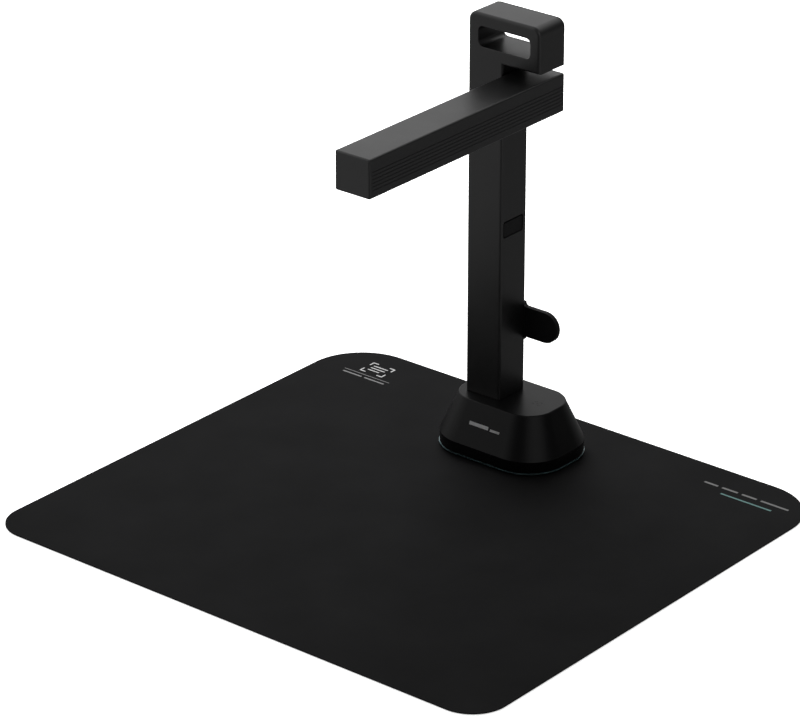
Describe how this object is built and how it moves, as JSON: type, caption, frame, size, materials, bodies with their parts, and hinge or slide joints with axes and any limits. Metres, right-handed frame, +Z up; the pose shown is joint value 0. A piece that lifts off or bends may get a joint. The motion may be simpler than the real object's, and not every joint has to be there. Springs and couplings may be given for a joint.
{
  "type": "book scanner",
  "caption": "Overhead book scanner: a camera arm with lamp that folds down beside a square column with a handle hole, on a drafted base, with its flat scan mat.",
  "frame": {"origin": "middle of the scan mat's underside", "axes": "+X to the user's right along the mat's long side, +Y to the back, +Z up"},
  "size_m": [0.484, 0.4396, 0.3697],
  "materials": {
    "housing": "fine satin black",
    "gloss_black": "polished black",
    "mat": "fine grained, dull",
    "trim": "translucent pale teal",
    "rubber": "dull",
    "steel": "satin",
    "cast_iron": "painted, rough",
    "circuit_board": "solder mask",
    "brass": "satin",
    "opal": "opal, diffusing",
    "lens_glass": "coated lens",
    "cable": "satin jacket"
  },
  "bodies": {
    "stand": {"scan_mat": "mat", "base_shell": "housing", "base_plinth": "gloss_black", "trim_ring": "trim", "base_plate": "steel", "rubber_foot_1": "rubber", "rubber_foot_2": "rubber", "rubber_foot_3": "rubber", "rubber_foot_4": "rubber", "base_screw_1": "steel", "base_screw_2": "steel", "base_screw_3": "steel", "base_screw_4": "steel", "ballast": "cast_iron", "spine_bracket": "steel", "main_board": "circuit_board", "touch_sensor": "circuit_board", "usb_socket": "steel", "upright_housing": "housing", "rear_cover": "housing", "side_insert": "housing", "cover_screw_1": "steel", "cover_screw_2": "steel", "cover_screw_3": "steel", "cover_screw_4": "steel", "spine": "steel", "column_cable": "cable", "hinge_bush": "housing"},
    "arm": {"arm_housing": "housing", "arm_bottom_cover": "housing", "arm_frame": "steel", "hinge_shaft": "steel", "friction_washer": "brass", "spring_washer": "steel", "hinge_nut": "steel", "lamp_diffuser": "opal", "led_board": "circuit_board", "camera_board": "circuit_board", "lens_holder": "housing", "lens_barrel": "steel", "lens_glass": "lens_glass", "lens_bezel": "gloss_black", "arm_cable": "cable", "arm_screw_1": "steel", "arm_screw_2": "steel"}
  },
  "joints": [
    {"name": "arm_fold", "type": "hinge", "parent": "stand", "child": "arm", "pos_m": [0.00375, 0.1452, 0.30925], "axis": [1, 0, 0], "range_deg": [0, 90]}
  ]
}
